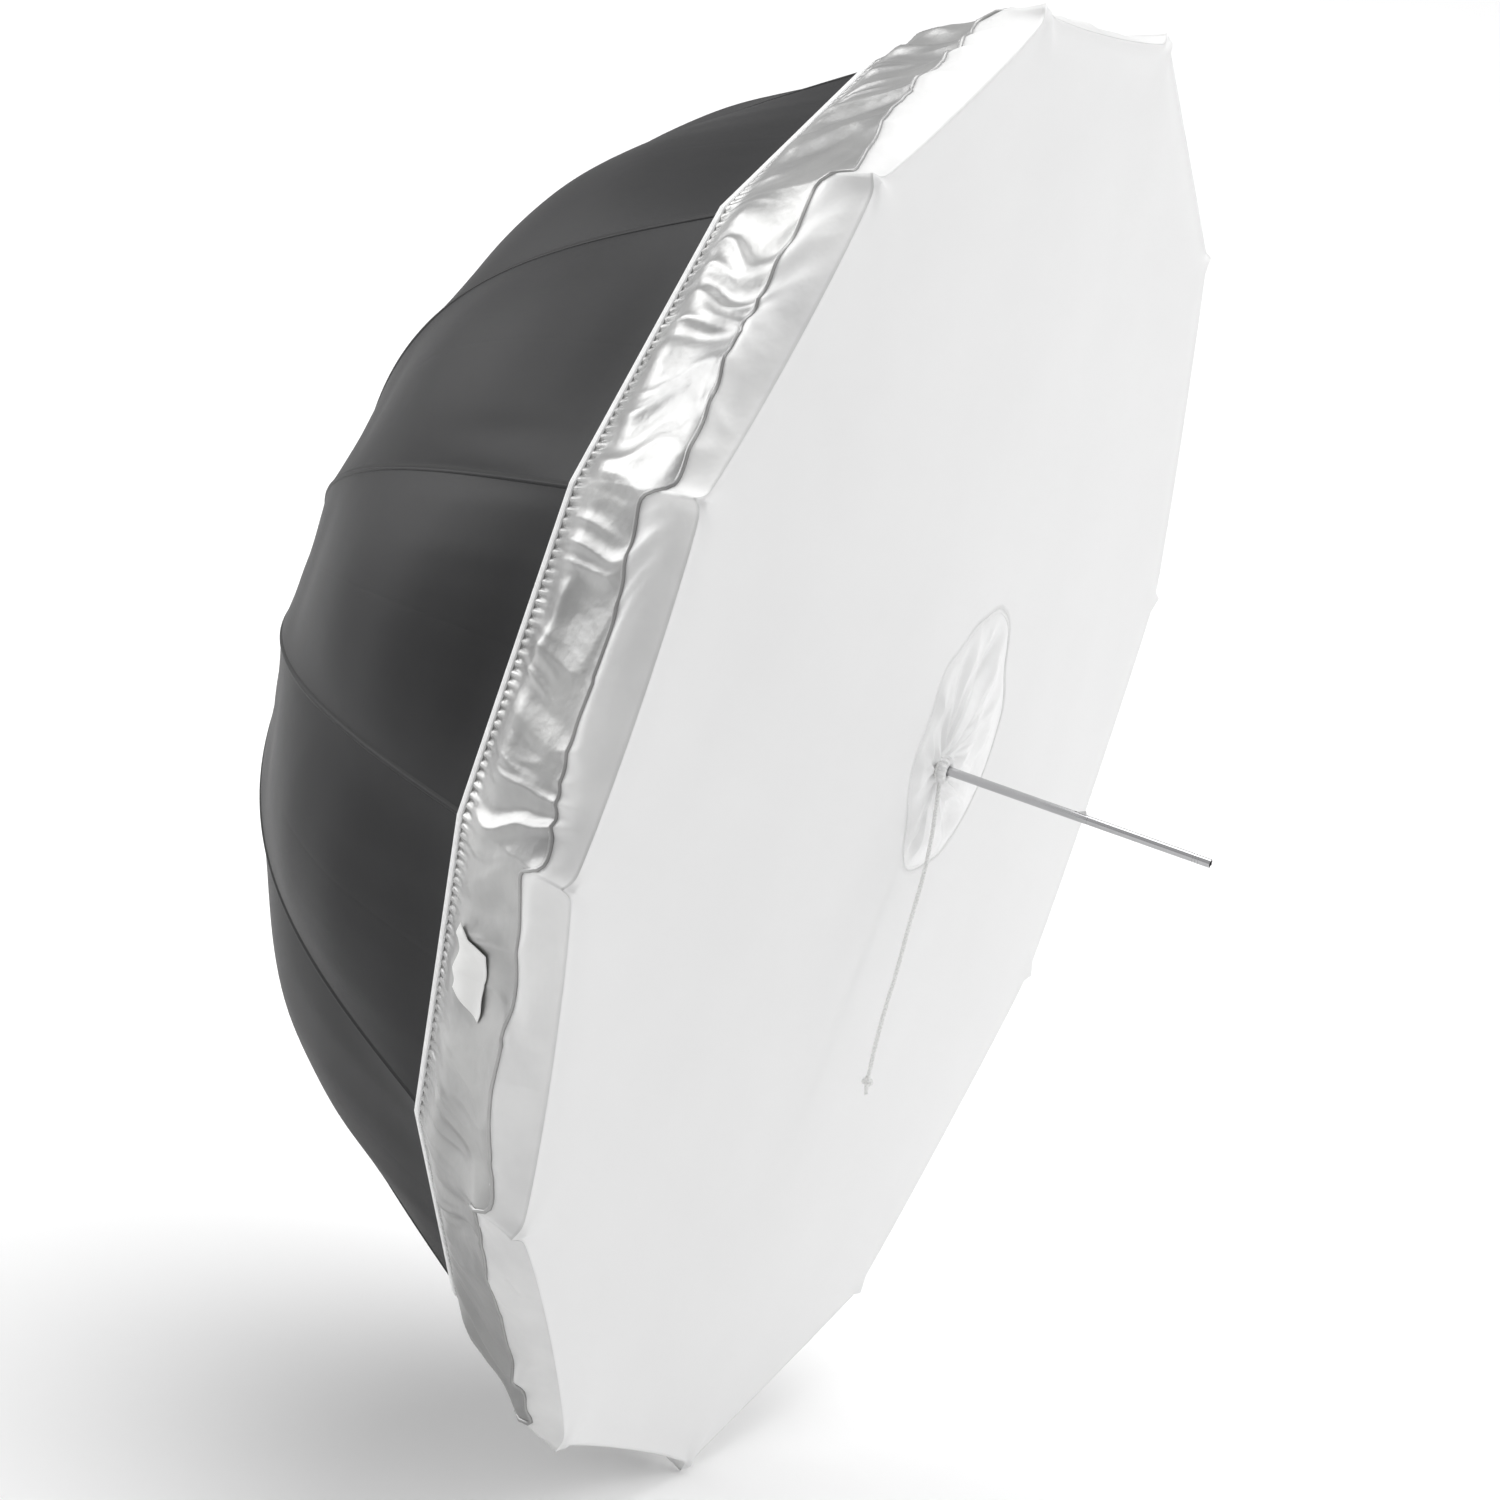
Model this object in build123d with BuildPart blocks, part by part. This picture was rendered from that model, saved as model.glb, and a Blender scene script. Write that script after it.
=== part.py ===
"""Deep parabolic umbrella reflector with a removable front diffuser, 12 ribs, 8 mm shaft.

The shaft lies along Y and the open side faces -Y. The origin is on the shaft's axis, in the
middle of the bare stretch that a light stand's umbrella clamp holds. All sizes are in mm.
"""
from build123d import *
from math import atan2, cos, degrees, hypot, pi, radians, sin, sqrt, tan
import os

os.makedirs("parts", exist_ok=True)

# ---------------------------------------------------------------- driving dimensions
RIB_COUNT = 12
PITCH = 360.0 / RIB_COUNT
FIRST_RIB = 90.0  # the first rib points straight up

SHAFT_R = 4.0
SHAFT_BORE_R = 3.0
FREE_END_Y = -60.0

CROWN_Y = 754.0  # inside of the canopy over the crown
RIM_R = 661.0  # canopy edge at a rib
RIM_Y = 272.0
RIM_HANDLE = (453.0, 568.0)  # how the rib leaves the rim
SHOULDER_R = 385.0  # how the rib turns over to the crown
CANOPY_T = 1.2
CANOPY_HOLE_R = 18.0
PANEL_ARC = 29.5

RIB_INSET = 2.5  # canopy to the rib's outer edge
RIB_DEPTH = 4.0
RIB_W = 3.0
HUB_R = 12.0  # radius of the crown's wire ring
FOLD_DEG = 50.8
WIRE_R = 0.85
EYE_R = 2.6

BRACKET_U = 0.6175  # place of the strut bracket along the rib, 0 at the tip and 1 at the crown
BRACKET_L = 12.0
BRACKET_W = 5.2
PIVOT_DROP = 7.0  # rib centre line to the rivet
RIVET_R = 1.0
RIVET_HEAD_R = 2.0
RIVET_HEAD_T = 0.7
TIP_CAP_R = 3.2
TIP_CAP_END = 2.4  # beyond the rib's end
TIP_CAP_SOCKET = 4.0

STRUT_W = 5.0
STRUT_T = 2.4
RUNNER_RING_R = 11.0
RUNNER_FOLDED_Y = 94.0  # wire ring of the runner when the umbrella is folded
RUNNER_R = 15.0
RUNNER_SLEEVE_R = 8.0
RUNNER_SLEEVE_L = 38.0
RUNNER_BORE_R = 4.06
RUNNER_WEB_R = 8.0
COLLAR_HALF = 5.0
WINDOW_BACK = 30.0  # wire ring to the middle of the catch window
WINDOW_L = 11.0
WINDOW_W = 4.4
KEYWAY_W = 2.8
KEYWAY_TOP = 7.0

CATCH_L = 10.0
CATCH_T = 2.0
CATCH_TOP = 6.7
CATCH_BOTTOM = 1.0

SHEET_Y = 199.0  # front sheet at the shaft
SHEET_RIM_Y = 264.5
SHEET_R = 666.5
SHEET_T = 1.0
SLEEVE_R = 118.0  # sewn-in sleeve panel, its middle beside the shaft
SLEEVE_AT = (64.0, 6.0)
SLEEVE_REACH = hypot(*SLEEVE_AT) + SLEEVE_R + 5.0
SHAFT_SLOT_R = 6.0
CINCH_R = 13.0
CINCH_L = 11.0
PIPING_R = 2.0
HEM_R = 573.5
HEM_Y = 408.0
HEM_W = 7.0
HEM_T = 2.0
SKIRT_T = 1.0

CORD_D = 4.0
KNOT_R = 5.5

LABEL_L = 62.0
LABEL_W = 42.0
LABEL_T = 0.5
LABEL_ANGLE = 196.0


# ---------------------------------------------------------------- helpers
def radial_plane(angle):
    """Plane through the shaft's axis: local x points outward at the angle, local y is along Y."""
    a = radians(angle)
    return Plane(origin=(0, 0, 0), x_dir=(cos(a), 0, sin(a)), z_dir=(-sin(a), 0, cos(a)))


def rib_curve(inset, crown_r):
    """Control points of the canopy's line in a radial plane, moved inward by inset."""
    out_r, out_y = RIM_HANDLE[1] - RIM_Y, RIM_R - RIM_HANDLE[0]
    size = hypot(out_r, out_y)
    step_r, step_y = inset * out_r / size, inset * out_y / size
    return [
        (RIM_R - step_r, RIM_Y - step_y),
        (RIM_HANDLE[0] - step_r, RIM_HANDLE[1] - step_y),
        (SHOULDER_R - 0.65 * inset, CROWN_Y - inset),
        (crown_r, CROWN_Y - inset),
    ]


def curve_point(points, u):
    """Point of a four-point Bezier curve, and its direction towards the crown."""
    weights = [(1 - u) ** 3, 3 * (1 - u) ** 2 * u, 3 * (1 - u) * u * u, u**3]
    place = [sum(w * p[k] for w, p in zip(weights, points)) for k in (0, 1)]
    steps = [(1 - u) ** 2, 2 * (1 - u) * u, u * u]
    slope = [sum(s * (b[k] - a[k]) for s, a, b in zip(steps, points, points[1:])) for k in (0, 1)]
    size = hypot(*slope)
    return place, [slope[0] / size, slope[1] / size]


def write(builder, name):
    """Label a finished piece and write its STEP file."""
    builder.part.label = name
    export_step(builder.part, f"parts/{name}.step")


# ---------------------------------------------------------------- the folding linkage
HUB_Y = CROWN_Y - RIB_INSET - RIB_DEPTH / 2
RIB_CENTRE = rib_curve(RIB_INSET + RIB_DEPTH / 2, HUB_R)
BRACKET_AT, BRACKET_DIR = curve_point(RIB_CENTRE, BRACKET_U)
INWARD = (-BRACKET_DIR[1], BRACKET_DIR[0])
PIVOT = (BRACKET_AT[0] + PIVOT_DROP * INWARD[0], BRACKET_AT[1] + PIVOT_DROP * INWARD[1])

pivot_arm = hypot(PIVOT[0] - HUB_R, HUB_Y - PIVOT[1])
pivot_angle = atan2(PIVOT[0] - HUB_R, HUB_Y - PIVOT[1])
folded_angle = pivot_angle - radians(FOLD_DEG)
FOLDED_PIVOT = (HUB_R + pivot_arm * sin(folded_angle), HUB_Y - pivot_arm * cos(folded_angle))
STRUT_L = hypot(FOLDED_PIVOT[0] - RUNNER_RING_R, FOLDED_PIVOT[1] - RUNNER_FOLDED_Y)
RUNNER_Y = PIVOT[1] - sqrt(STRUT_L**2 - (PIVOT[0] - RUNNER_RING_R) ** 2)
open_lean = atan2(PIVOT[0] - RUNNER_RING_R, PIVOT[1] - RUNNER_Y)
folded_lean = atan2(FOLDED_PIVOT[0] - RUNNER_RING_R, FOLDED_PIVOT[1] - RUNNER_FOLDED_Y)
STRUT_TURN = FOLD_DEG + degrees(open_lean - folded_lean)
OPEN_CATCH_Y = RUNNER_Y - WINDOW_BACK
CLOSED_CATCH_Y = RUNNER_FOLDED_Y - WINDOW_BACK
RIB_ANGLES = [FIRST_RIB + PITCH * k for k in range(RIB_COUNT)]

print(f"hub r {HUB_R} y {HUB_Y}, pivot r {PIVOT[0]:.4f} y {PIVOT[1]:.4f}")
print(f"strut {STRUT_L:.3f}, runner open {RUNNER_Y:.4f}, travel {RUNNER_Y - RUNNER_FOLDED_Y:.4f}")
print(f"rib turn {FOLD_DEG}, strut turn {STRUT_TURN:.4f}")

# ---------------------------------------------------------------- shaft and its two catches
GROOVES = [FREE_END_Y + 9.7 + 2.7 * k for k in range(3)]
STOP_RING_Y = CLOSED_CATCH_Y - 8.5

with BuildPart() as shaft:
    with BuildSketch(Plane.XZ.offset(-FREE_END_Y)):
        Circle(SHAFT_R)
        Circle(SHAFT_BORE_R, mode=Mode.SUBTRACT)
    extrude(amount=-(CROWN_Y + 3.2 - FREE_END_Y))
    end_edges = shaft.edges().filter_by(GeomType.CIRCLE).group_by(Axis.Y)[0]
    chamfer(end_edges, length=0.45)
    for groove_y in GROOVES:
        with BuildSketch(Plane.XZ.offset(-groove_y)):
            Circle(SHAFT_R + 1)
            Circle(SHAFT_R - 0.35, mode=Mode.SUBTRACT)
        extrude(amount=-1.1, mode=Mode.SUBTRACT)
    with BuildSketch(Plane.XZ.offset(-STOP_RING_Y)):
        Circle(SHAFT_R + 1)
        Circle(SHAFT_R - 0.3, mode=Mode.SUBTRACT)
    extrude(amount=-1.0, mode=Mode.SUBTRACT)
    for catch_y in (OPEN_CATCH_Y, CLOSED_CATCH_Y):
        with BuildSketch(Plane.XY.offset(1.5)):
            with Locations((0, catch_y)):
                SlotOverall(CATCH_L + 2.6, CATCH_T + 0.4, rotation=90)
        extrude(amount=SHAFT_R, mode=Mode.SUBTRACT)
write(shaft, "shaft")

# Each catch slopes on the side that the runner comes from: the free end to open, the crown to fold.
for name, catch_y, steep in (("open_catch", OPEN_CATCH_Y, 1), ("closed_catch", CLOSED_CATCH_Y, -1)):
    with BuildPart() as catch:
        with BuildSketch(Plane.YZ):
            with BuildLine():
                Polyline(
                    (catch_y - steep * CATCH_L / 2, CATCH_BOTTOM),
                    (catch_y + steep * CATCH_L / 2, CATCH_BOTTOM),
                    (catch_y + steep * CATCH_L / 2, SHAFT_R - 0.4),
                    (catch_y + steep * (CATCH_L / 2 - 1.0), CATCH_TOP),
                    (catch_y + steep * (CATCH_L / 2 - 2.6), CATCH_TOP),
                    (catch_y - steep * CATCH_L / 2, SHAFT_R - 0.8),
                    close=True,
                )
            make_face()
        extrude(amount=CATCH_T / 2, both=True)
    write(catch, name)

# ---------------------------------------------------------------- crown, wire ring and cap
CROWN_R = 16.0
CROWN_CORE_R = 8.0
CROWN_LOW = HUB_Y - 7.0
CROWN_TOP = CROWN_Y - 0.6
RIB_SLOT = RIB_W + 0.6
CAP_R = 17.0
CAP_KNOB_R = 5.5
CAP_H = 14.5

with BuildPart() as crown:
    with BuildSketch(Plane.XZ.offset(-CROWN_LOW)):
        Circle(CROWN_R)
        Circle(SHAFT_R, mode=Mode.SUBTRACT)
    extrude(amount=-(CROWN_TOP - CROWN_LOW))
    for angle in RIB_ANGLES:
        with BuildSketch(radial_plane(angle)):
            with Locations(((CROWN_CORE_R + CROWN_R + 4) / 2, (CROWN_LOW + HUB_Y + EYE_R) / 2)):
                Rectangle(CROWN_R + 4 - CROWN_CORE_R, HUB_Y + EYE_R + 0.3 - CROWN_LOW + 0.3)
        extrude(amount=RIB_SLOT / 2, both=True, mode=Mode.SUBTRACT)
    with BuildSketch(Plane.XY):
        with Locations((HUB_R, HUB_Y)):
            Circle(WIRE_R + 0.05)
    revolve(axis=Axis.Y, mode=Mode.SUBTRACT)
    with BuildSketch(Plane.XY):
        with Locations((HUB_R, HUB_Y)):
            Circle(WIRE_R)
    revolve(axis=Axis.Y)
write(crown, "crown")

with BuildPart() as crown_cap:
    cap_low = CROWN_Y + CANOPY_T + 0.6
    with BuildSketch(Plane.XY):
        with BuildLine():
            outline = Polyline(
                (0, cap_low),
                (CAP_R, cap_low),
                (CAP_R, cap_low + 2.5),
                (0.7 * CAP_R, cap_low + 8.0),
                (CAP_KNOB_R, cap_low + 9.5),
                (CAP_KNOB_R, cap_low + CAP_H),
                (0, cap_low + CAP_H),
                close=True,
            )
        make_face()
        corners = outline.vertices()
        fillet([v for v in corners if v.Y > cap_low + 1 and v.X > 1], radius=1.4)
    revolve(axis=Axis.Y)
    with BuildSketch(Plane.XZ.offset(-cap_low)):
        Circle(SHAFT_R)
    extrude(amount=-(CROWN_Y + 3.2 - cap_low), mode=Mode.SUBTRACT)
write(crown_cap, "crown_cap")

# ---------------------------------------------------------------- runner with its wire ring
SLEEVE_END_Y = RUNNER_Y - RUNNER_SLEEVE_L

with BuildPart() as runner:
    with BuildSketch(Plane.XY):
        with BuildLine():
            Polyline(
                (0, SLEEVE_END_Y),
                (RUNNER_SLEEVE_R - 0.6, SLEEVE_END_Y),
                (RUNNER_SLEEVE_R, SLEEVE_END_Y + 0.8),
                (RUNNER_SLEEVE_R, RUNNER_Y - COLLAR_HALF),
                (RUNNER_R, RUNNER_Y - COLLAR_HALF),
                (RUNNER_R, RUNNER_Y + COLLAR_HALF),
                (RUNNER_SLEEVE_R, RUNNER_Y + COLLAR_HALF + 2.5),
                (0, RUNNER_Y + COLLAR_HALF + 2.5),
                close=True,
            )
        make_face()
    revolve(axis=Axis.Y)
    with BuildSketch(Plane.XZ.offset(-SLEEVE_END_Y + 1)):
        Circle(RUNNER_BORE_R)
    extrude(amount=-(RUNNER_SLEEVE_L + COLLAR_HALF + 5), mode=Mode.SUBTRACT)
    for angle in RIB_ANGLES:
        with BuildSketch(radial_plane(angle)):
            with Locations(((RUNNER_WEB_R + RUNNER_R + 2) / 2, RUNNER_Y)):
                Rectangle(RUNNER_R + 2 - RUNNER_WEB_R, 2 * COLLAR_HALF + 8)
        extrude(amount=STRUT_T / 2 + 0.3, both=True, mode=Mode.SUBTRACT)
    for ring in range(3):
        with BuildSketch(Plane.XZ.offset(-(SLEEVE_END_Y + 15.5 + 3.2 * ring))):
            Circle(RUNNER_SLEEVE_R + 1)
            Circle(RUNNER_SLEEVE_R - 0.5, mode=Mode.SUBTRACT)
        extrude(amount=-1.4, mode=Mode.SUBTRACT)
    with BuildSketch(Plane.XY.offset(RUNNER_BORE_R - 1)):
        with Locations((0, OPEN_CATCH_Y)):
            SlotOverall(WINDOW_L, WINDOW_W, rotation=90)
    extrude(amount=RUNNER_SLEEVE_R, mode=Mode.SUBTRACT)
    with BuildSketch(Plane.XZ.offset(-SLEEVE_END_Y + 1)):  # keyway that clears a raised catch
        with Locations((0, KEYWAY_TOP / 2)):
            Rectangle(KEYWAY_W, KEYWAY_TOP)
    extrude(amount=-(RUNNER_SLEEVE_L + COLLAR_HALF + 5), mode=Mode.SUBTRACT)
    with BuildSketch(Plane.XY):
        with Locations((RUNNER_RING_R, RUNNER_Y)):
            Circle(WIRE_R + 0.05)
    revolve(axis=Axis.Y, mode=Mode.SUBTRACT)
    with BuildSketch(Plane.XY):
        with Locations((RUNNER_RING_R, RUNNER_Y)):
            Circle(WIRE_R)
    revolve(axis=Axis.Y)
write(runner, "runner")

# ---------------------------------------------------------------- ribs, fittings and struts
strut_dir = ((RUNNER_RING_R - PIVOT[0]) / STRUT_L, (RUNNER_Y - PIVOT[1]) / STRUT_L)
TIP_AT, TIP_DIR = curve_point(RIB_CENTRE, 0.0)

for index, angle in enumerate(RIB_ANGLES, start=1):
    plane = radial_plane(angle)
    normal = plane.z_dir

    with BuildPart() as rib:
        with BuildSketch(plane):
            with BuildLine():
                outer = Bezier(*rib_curve(RIB_INSET, HUB_R))
                inner = Bezier(*rib_curve(RIB_INSET + RIB_DEPTH, HUB_R))
                Line(outer @ 0, inner @ 0)
                Line(outer @ 1, inner @ 1)
            make_face()
            with Locations((HUB_R, HUB_Y)):
                Circle(EYE_R)
                Circle(WIRE_R + 0.15, mode=Mode.SUBTRACT)
        extrude(amount=RIB_W / 2, both=True)
    write(rib, f"rib_{index:02d}")

    bracket_plane = Plane(
        origin=plane.from_local_coords((BRACKET_AT[0], BRACKET_AT[1], 0)),
        x_dir=plane.x_dir * BRACKET_DIR[0] + plane.y_dir * BRACKET_DIR[1],
        z_dir=normal,
    )
    tip_plane = Plane(
        origin=plane.from_local_coords((TIP_AT[0], TIP_AT[1], 0)),
        x_dir=plane.y_dir * TIP_DIR[0] - plane.x_dir * TIP_DIR[1],
        z_dir=plane.x_dir * -TIP_DIR[0] - plane.y_dir * TIP_DIR[1],
    )
    with BuildPart() as fittings:
        with BuildSketch(bracket_plane):
            with BuildLine():
                Polyline(
                    (-BRACKET_L / 2, -RIB_DEPTH / 2 - 1.0),
                    (BRACKET_L / 2, -RIB_DEPTH / 2 - 1.0),
                    (BRACKET_L / 2, RIB_DEPTH / 2 + 0.5),
                    (RIVET_HEAD_R + 1.0, PIVOT_DROP + 2.4),
                    (-RIVET_HEAD_R - 1.0, PIVOT_DROP + 2.4),
                    (-BRACKET_L / 2, RIB_DEPTH / 2 + 0.5),
                    close=True,
                )
            make_face()
        extrude(amount=BRACKET_W / 2, both=True)
        with BuildSketch(bracket_plane):
            with Locations((0, 9.0 - RIB_DEPTH / 2 - 0.1)):
                Rectangle(BRACKET_L + 6, 18.0)
        extrude(amount=RIB_W / 2 + 0.05, both=True, mode=Mode.SUBTRACT)
        with BuildSketch(bracket_plane):
            with Locations((0, PIVOT_DROP)):
                Circle(RIVET_R)
        extrude(amount=BRACKET_W / 2 + RIVET_HEAD_T, both=True)
        for side in (1, -1):
            with BuildSketch(bracket_plane.offset(side * BRACKET_W / 2)):
                with Locations((0, PIVOT_DROP)):
                    Circle(RIVET_HEAD_R)
            extrude(amount=side * RIVET_HEAD_T)
        with BuildSketch(tip_plane.offset(TIP_CAP_END)):
            Circle(TIP_CAP_R)
        extrude(amount=-(TIP_CAP_END + TIP_CAP_SOCKET))
        cap_edges = fittings.edges().filter_by(GeomType.CIRCLE)
        fillet(cap_edges.sort_by_distance(tip_plane.offset(TIP_CAP_END).origin)[0], radius=1.6)
        with BuildSketch(tip_plane):
            Rectangle(RIB_DEPTH, RIB_W)
        extrude(amount=-TIP_CAP_SOCKET, mode=Mode.SUBTRACT)
    write(fittings, f"rib_fittings_{index:02d}")

    strut_plane = Plane(
        origin=plane.from_local_coords((RUNNER_RING_R, RUNNER_Y, 0)),
        x_dir=plane.x_dir * -strut_dir[0] + plane.y_dir * -strut_dir[1],
        z_dir=normal,
    )
    with BuildPart() as strut:
        with BuildSketch(strut_plane):
            with Locations((STRUT_L / 2, 0)):
                Rectangle(STRUT_L, STRUT_W)
            Circle(EYE_R)
            with Locations((STRUT_L, 0)):
                Circle(STRUT_W / 2)
                Circle(RIVET_R + 0.05, mode=Mode.SUBTRACT)
            with Locations((3.5, 1.5 - WIRE_R - 0.1 + 0.5)):
                Rectangle(9.0, 4.0, mode=Mode.SUBTRACT)
        extrude(amount=STRUT_T / 2, both=True)
    write(strut, f"strut_{index:02d}")

    with BuildPart() as panel:
        with BuildSketch(radial_plane(angle + PANEL_ARC / 2)):
            with BuildLine():
                outside = Bezier(*rib_curve(-CANOPY_T, CANOPY_HOLE_R))
                inside = Bezier(*rib_curve(0, CANOPY_HOLE_R))
                Line(outside @ 0, inside @ 0)
                Line(outside @ 1, inside @ 1)
            make_face()
        revolve(axis=Axis.Y, revolution_arc=PANEL_ARC)
    write(panel, f"canopy_panel_{index:02d}")

# ---------------------------------------------------------------- diffuser cover
sheet_slope = (SHEET_RIM_Y - SHEET_Y) / SHEET_R


def sheet_y(r):
    """Front of the front sheet at radius r."""
    return SHEET_Y + sheet_slope * r


with BuildPart() as diffuser_front:
    with BuildSketch(Plane.XY):
        with BuildLine():
            Polyline(
                (SHAFT_SLOT_R, sheet_y(SHAFT_SLOT_R)),
                (SHEET_R, SHEET_RIM_Y),
                (SHEET_R, SHEET_RIM_Y + SHEET_T),
                (SHAFT_SLOT_R, sheet_y(SHAFT_SLOT_R) + SHEET_T),
                close=True,
            )
        make_face()
    revolve(axis=Axis.Y)
    with BuildSketch(Plane.XZ.offset(-SHEET_Y + 30)):
        with Locations(SLEEVE_AT):
            Circle(SLEEVE_R + 0.3)
    extrude(amount=-80, mode=Mode.SUBTRACT)
write(diffuser_front, "diffuser_front")

with BuildPart() as diffuser_sleeve:
    with BuildSketch(Plane.XY):
        with BuildLine():
            Polyline(
                (SHAFT_SLOT_R, SHEET_Y - CINCH_L),
                (CINCH_R - 2, SHEET_Y - CINCH_L),
                (CINCH_R, SHEET_Y - CINCH_L / 2),
                (CINCH_R - 4, sheet_y(CINCH_R - 4)),
                (SLEEVE_REACH, sheet_y(SLEEVE_REACH)),
                (SLEEVE_REACH, sheet_y(SLEEVE_REACH) + SHEET_T),
                (SHAFT_SLOT_R, sheet_y(SHAFT_SLOT_R) + SHEET_T),
                close=True,
            )
        make_face()
    revolve(axis=Axis.Y)
    with BuildSketch(Plane.XZ.offset(-SHEET_Y + 30)):
        with Locations(SLEEVE_AT):
            Circle(SLEEVE_R)
    extrude(amount=-80, mode=Mode.INTERSECT)
write(diffuser_sleeve, "diffuser_sleeve")

SKIRT_RIM = (SHEET_R + 1.0, SHEET_RIM_Y + 3.8)
SKIRT_HEM = (HEM_R, HEM_Y - 0.3)
skirt_turn = degrees(atan2(SKIRT_RIM[0] - SKIRT_HEM[0], SKIRT_HEM[1] - SKIRT_RIM[1]))
label_place = 0.80  # share of the way from the rim to the hem
label_r = SKIRT_RIM[0] + label_place * (SKIRT_HEM[0] - SKIRT_RIM[0])
label_y = SKIRT_RIM[1] + label_place * (SKIRT_HEM[1] - SKIRT_RIM[1])
label_plane = Plane(
    origin=radial_plane(LABEL_ANGLE).from_local_coords((label_r + 4.0, label_y + 2.0, 0)),
    x_dir=radial_plane(LABEL_ANGLE).z_dir,
    z_dir=radial_plane(LABEL_ANGLE).x_dir.rotate(
        Axis((0, 0, 0), radial_plane(LABEL_ANGLE).z_dir), skirt_turn
    ),
)

with BuildPart() as diffuser_skirt:
    with BuildSketch(Plane.XY):
        with BuildLine():
            Polyline(
                SKIRT_RIM,
                SKIRT_HEM,
                (SKIRT_HEM[0] + SKIRT_T * 1.2, SKIRT_HEM[1]),
                (SKIRT_RIM[0] + SKIRT_T * 1.2, SKIRT_RIM[1]),
                close=True,
            )
        make_face()
    revolve(axis=Axis.Y)
    with BuildSketch(Plane.XY):
        with Locations((SHEET_R + 3.0, SHEET_RIM_Y + 1.2)):
            Circle(PIPING_R)
    revolve(axis=Axis.Y)
    with BuildSketch(label_plane):
        Rectangle(LABEL_L, LABEL_W)
    extrude(amount=LABEL_T)
write(diffuser_skirt, "diffuser_skirt")

with BuildPart() as elastic_hem:
    with BuildSketch(Plane.XY):
        with Locations((HEM_R + HEM_T / 2, HEM_Y + HEM_W / 2)):
            Rectangle(HEM_T, HEM_W)
    revolve(axis=Axis.Y)
    fillet(elastic_hem.edges().filter_by(GeomType.CIRCLE), radius=0.6)
write(elastic_hem, "elastic_hem")

# ---------------------------------------------------------------- drawcord with its knot
CORD_ROUTE = [
    (-1.0, 193.5, -12.4),
    (-1.4, 191.4, -33.0),
    (-2.2, 188.2, -61.0),
    (-1.6, 187.2, -97.0),
    (-2.8, 188.8, -138.0),
    (-2.0, 189.4, -181.0),
    (-3.0, 191.6, -222.0),
    (-2.4, 192.4, -257.0),
    (-1.6, 191.8, -282.0),
]


def corner_radii(route):
    """The largest tangent arc at each inner point, from its two runs and its turn."""
    found = []
    for before, here, after in zip(route, route[1:], route[2:]):
        a, b = Vector(here) - Vector(before), Vector(after) - Vector(here)
        half_turn = radians(a.get_angle(b)) / 2
        found.append(0.45 * min(a.length, b.length) / tan(half_turn))
    return found


with BuildPart() as drawcord:
    with BuildLine() as cord_path:
        FilletPolyline(*CORD_ROUTE, radius=corner_radii(CORD_ROUTE))
    cord_wire = cord_path.wires()[0]
    with BuildSketch(Plane(cord_wire @ 0, z_dir=cord_wire % 0)):
        Circle(CORD_D / 2)
    sweep(path=cord_wire)
write(drawcord, "drawcord")
section_volume = pi * CORD_D**2 / 4 * cord_wire.length
print("cord radii", [round(r) for r in corner_radii(CORD_ROUTE)])
print(f"cord length {cord_wire.length:.1f}")
print(f"cord volume {drawcord.part.volume:.0f}, section by length {section_volume:.0f}")

with BuildPart() as cord_knot:
    end_plane = Plane(cord_wire @ 1, z_dir=cord_wire % 1)
    with Locations(end_plane.offset(KNOT_R - 0.8)):
        Sphere(KNOT_R)
    split(bisect_by=end_plane, keep=Keep.TOP)
    with BuildSketch(end_plane.offset(2 * KNOT_R - 2.0)):
        Circle(CORD_D / 2)
    extrude(amount=9.0)
write(cord_knot, "cord_knot")
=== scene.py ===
"""Looks of the umbrella reflector: cloth, cord, stitching, materials, floor, light and camera."""
from math import cos, pi, radians, sin, tau

import bpy
import numpy as np
from mathutils import Matrix, Vector


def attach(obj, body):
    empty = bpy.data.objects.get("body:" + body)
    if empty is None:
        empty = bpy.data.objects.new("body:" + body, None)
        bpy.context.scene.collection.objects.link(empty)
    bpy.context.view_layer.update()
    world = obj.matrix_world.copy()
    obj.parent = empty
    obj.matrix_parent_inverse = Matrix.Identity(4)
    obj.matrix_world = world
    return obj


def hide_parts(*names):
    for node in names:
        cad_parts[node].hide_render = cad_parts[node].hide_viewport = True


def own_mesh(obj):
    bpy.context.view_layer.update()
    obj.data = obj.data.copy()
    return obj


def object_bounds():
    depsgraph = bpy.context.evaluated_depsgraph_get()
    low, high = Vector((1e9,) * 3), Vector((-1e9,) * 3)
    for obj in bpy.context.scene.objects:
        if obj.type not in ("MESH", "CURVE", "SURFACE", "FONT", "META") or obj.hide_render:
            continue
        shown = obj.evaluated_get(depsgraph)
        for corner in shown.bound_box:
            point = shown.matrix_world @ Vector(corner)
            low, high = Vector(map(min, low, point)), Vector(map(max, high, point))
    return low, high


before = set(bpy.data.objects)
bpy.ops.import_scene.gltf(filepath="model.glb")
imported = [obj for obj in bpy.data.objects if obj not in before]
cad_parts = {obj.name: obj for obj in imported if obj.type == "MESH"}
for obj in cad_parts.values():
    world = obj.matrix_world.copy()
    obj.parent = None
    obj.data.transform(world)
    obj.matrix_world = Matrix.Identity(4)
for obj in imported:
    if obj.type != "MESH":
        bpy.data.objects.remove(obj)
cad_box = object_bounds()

MM = 0.001

# ---------------------------------------------------------------- driving dimensions, in metres
RIB_COUNT = 12
PITCH = 360 / RIB_COUNT
FIRST_RIB = 90.0

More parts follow.
